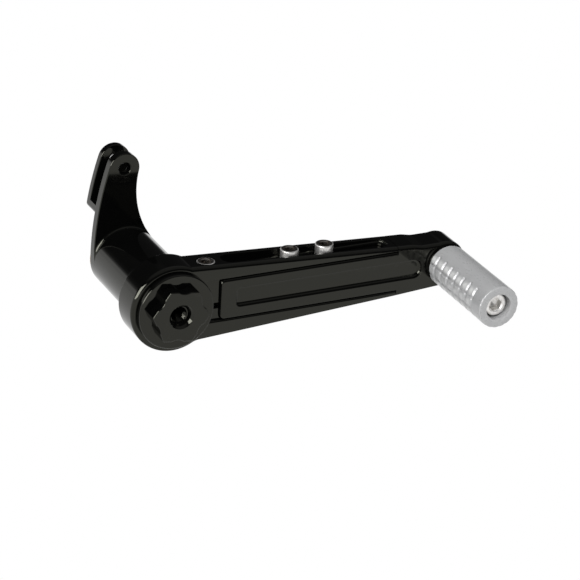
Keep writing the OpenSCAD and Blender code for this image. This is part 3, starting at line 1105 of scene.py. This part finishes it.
KEPT = {
    "front_thrust_washer": BRONZE,
    "rear_thrust_washer": BRONZE,
    "front_bush": BRONZE,
    "rear_bush": BRONZE,
    "retaining_ring": SPRING,
    "front_seal": RUBBER,
    "rear_seal": RUBBER,
    "peg_friction_ring": RUBBER,
    "peg_sleeve": STEEL,
    "peg_inner_washer": STEEL,
    "peg_outer_washer": STEEL,
}
for node, material in KEPT.items():
    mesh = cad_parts[node].data
    mesh.materials.clear()
    mesh.materials.append(material)


# ---------------------------------------------------------------- studio


def make_camera():
    """Camera that looks down on the outer side from the left."""
    data = bpy.data.cameras.new("camera")
    data.lens, data.sensor_width = 160.22, 36
    data.clip_start, data.clip_end = 0.01, 100
    camera = bpy.data.objects.new("camera", data)
    place = Vector((-0.47208, -1.06395, 0.56231))
    forward = Vector((0.40715694, 0.80764427, -0.42653717))
    right = Vector((0.90165355, -0.42994157, 0.04659536))
    up = right.cross(forward)
    turn = Matrix((right, up, -forward)).transposed()
    camera.matrix_world = Matrix.Translation(place) @ turn.to_4x4()
    bpy.context.scene.collection.objects.link(camera)
    bpy.context.scene.camera = camera


def make_floor():
    """White floor that glows evenly, as a lit sweep does, and ends at a dark wall on the right."""
    mesh = bpy.data.meshes.new("floor")
    far, right, level = 20, 0.9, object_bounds()[0].z - 0.12      # low enough for every pose
    corners = [(-far, -far, level), (right, -far, level), (right, far, level), (-far, far, level)]
    mesh.from_pydata(corners, [], [(0, 1, 2, 3)])
    floor = bpy.data.objects.new("floor", mesh)
    bpy.context.scene.collection.objects.link(floor)
    material = bpy.data.materials.new("floor")
    material.use_nodes = True
    shader = material.node_tree.nodes["Principled BSDF"]
    shader.inputs["Base Color"].default_value = (0, 0, 0, 1)
    shader.inputs["Specular IOR Level"].default_value = 0
    shader.inputs["Emission Color"].default_value = (1, 1, 1, 1)
    shader.inputs["Emission Strength"].default_value = 1.0
    mesh.materials.append(material)


def make_world():
    """Dark room with a dim ceiling, brighter towards the horizon on the left."""
    world = bpy.data.worlds.new("world")
    bpy.context.scene.world = world
    world.use_nodes = True
    nodes, links = world.node_tree.nodes, world.node_tree.links
    place = nodes.new("ShaderNodeTexCoord")
    split = nodes.new("ShaderNodeSeparateXYZ")
    ramp = nodes.new("ShaderNodeValToRGB")
    links.new(place.outputs["Generated"], split.inputs[0])
    lean = nodes.new("ShaderNodeMath")
    lean.operation = "MULTIPLY_ADD"
    lean.inputs[1].default_value = 0.2
    links.new(split.outputs["X"], lean.inputs[0])
    links.new(split.outputs["Z"], lean.inputs[2])
    links.new(lean.outputs[0], ramp.inputs[0])
    links.new(ramp.outputs[0], nodes["Background"].inputs["Color"])
    stops = ((0.0, 0.9), (0.04, 0.3), (0.1, 0.06), (0.2, 0.02), (0.56, 0.02), (0.75, 0.2), (1.0, 0.25))
    while len(ramp.color_ramp.elements) < len(stops):
        ramp.color_ramp.elements.new(0.5)
    for element, (height, shade) in zip(ramp.color_ramp.elements, stops):
        element.position = height
        element.color = (shade, shade, shade * 1.01, 1)


def make_light(name, place, target, width, height, power, diffuse, glossy):
    """Soft box aimed at a point, in metres, that can be left out of one kind of shading."""
    data = bpy.data.lights.new(name, "AREA")
    data.shape, data.size, data.size_y, data.energy = "RECTANGLE", width, height, power
    light = bpy.data.objects.new(name, data)
    light.location = place
    light.rotation_mode = "QUATERNION"
    light.rotation_quaternion = (Vector(target) - Vector(place)).to_track_quat("-Z", "Y")
    light.visible_diffuse = diffuse
    light.visible_glossy = glossy
    bpy.context.scene.collection.objects.link(light)


make_camera()
make_floor()
make_world()
middle = (0.07, 0.0, 0.01)
make_light("overhead", (-0.2, -0.6, 1.4), middle, 1.2, 1.2, 26, diffuse=True, glossy=False)
make_light("left_box", (-1.15, -0.45, 0.5), middle, 1.3, 0.7, 32, diffuse=False, glossy=True)
bpy.context.scene.view_settings.view_transform = "Standard"
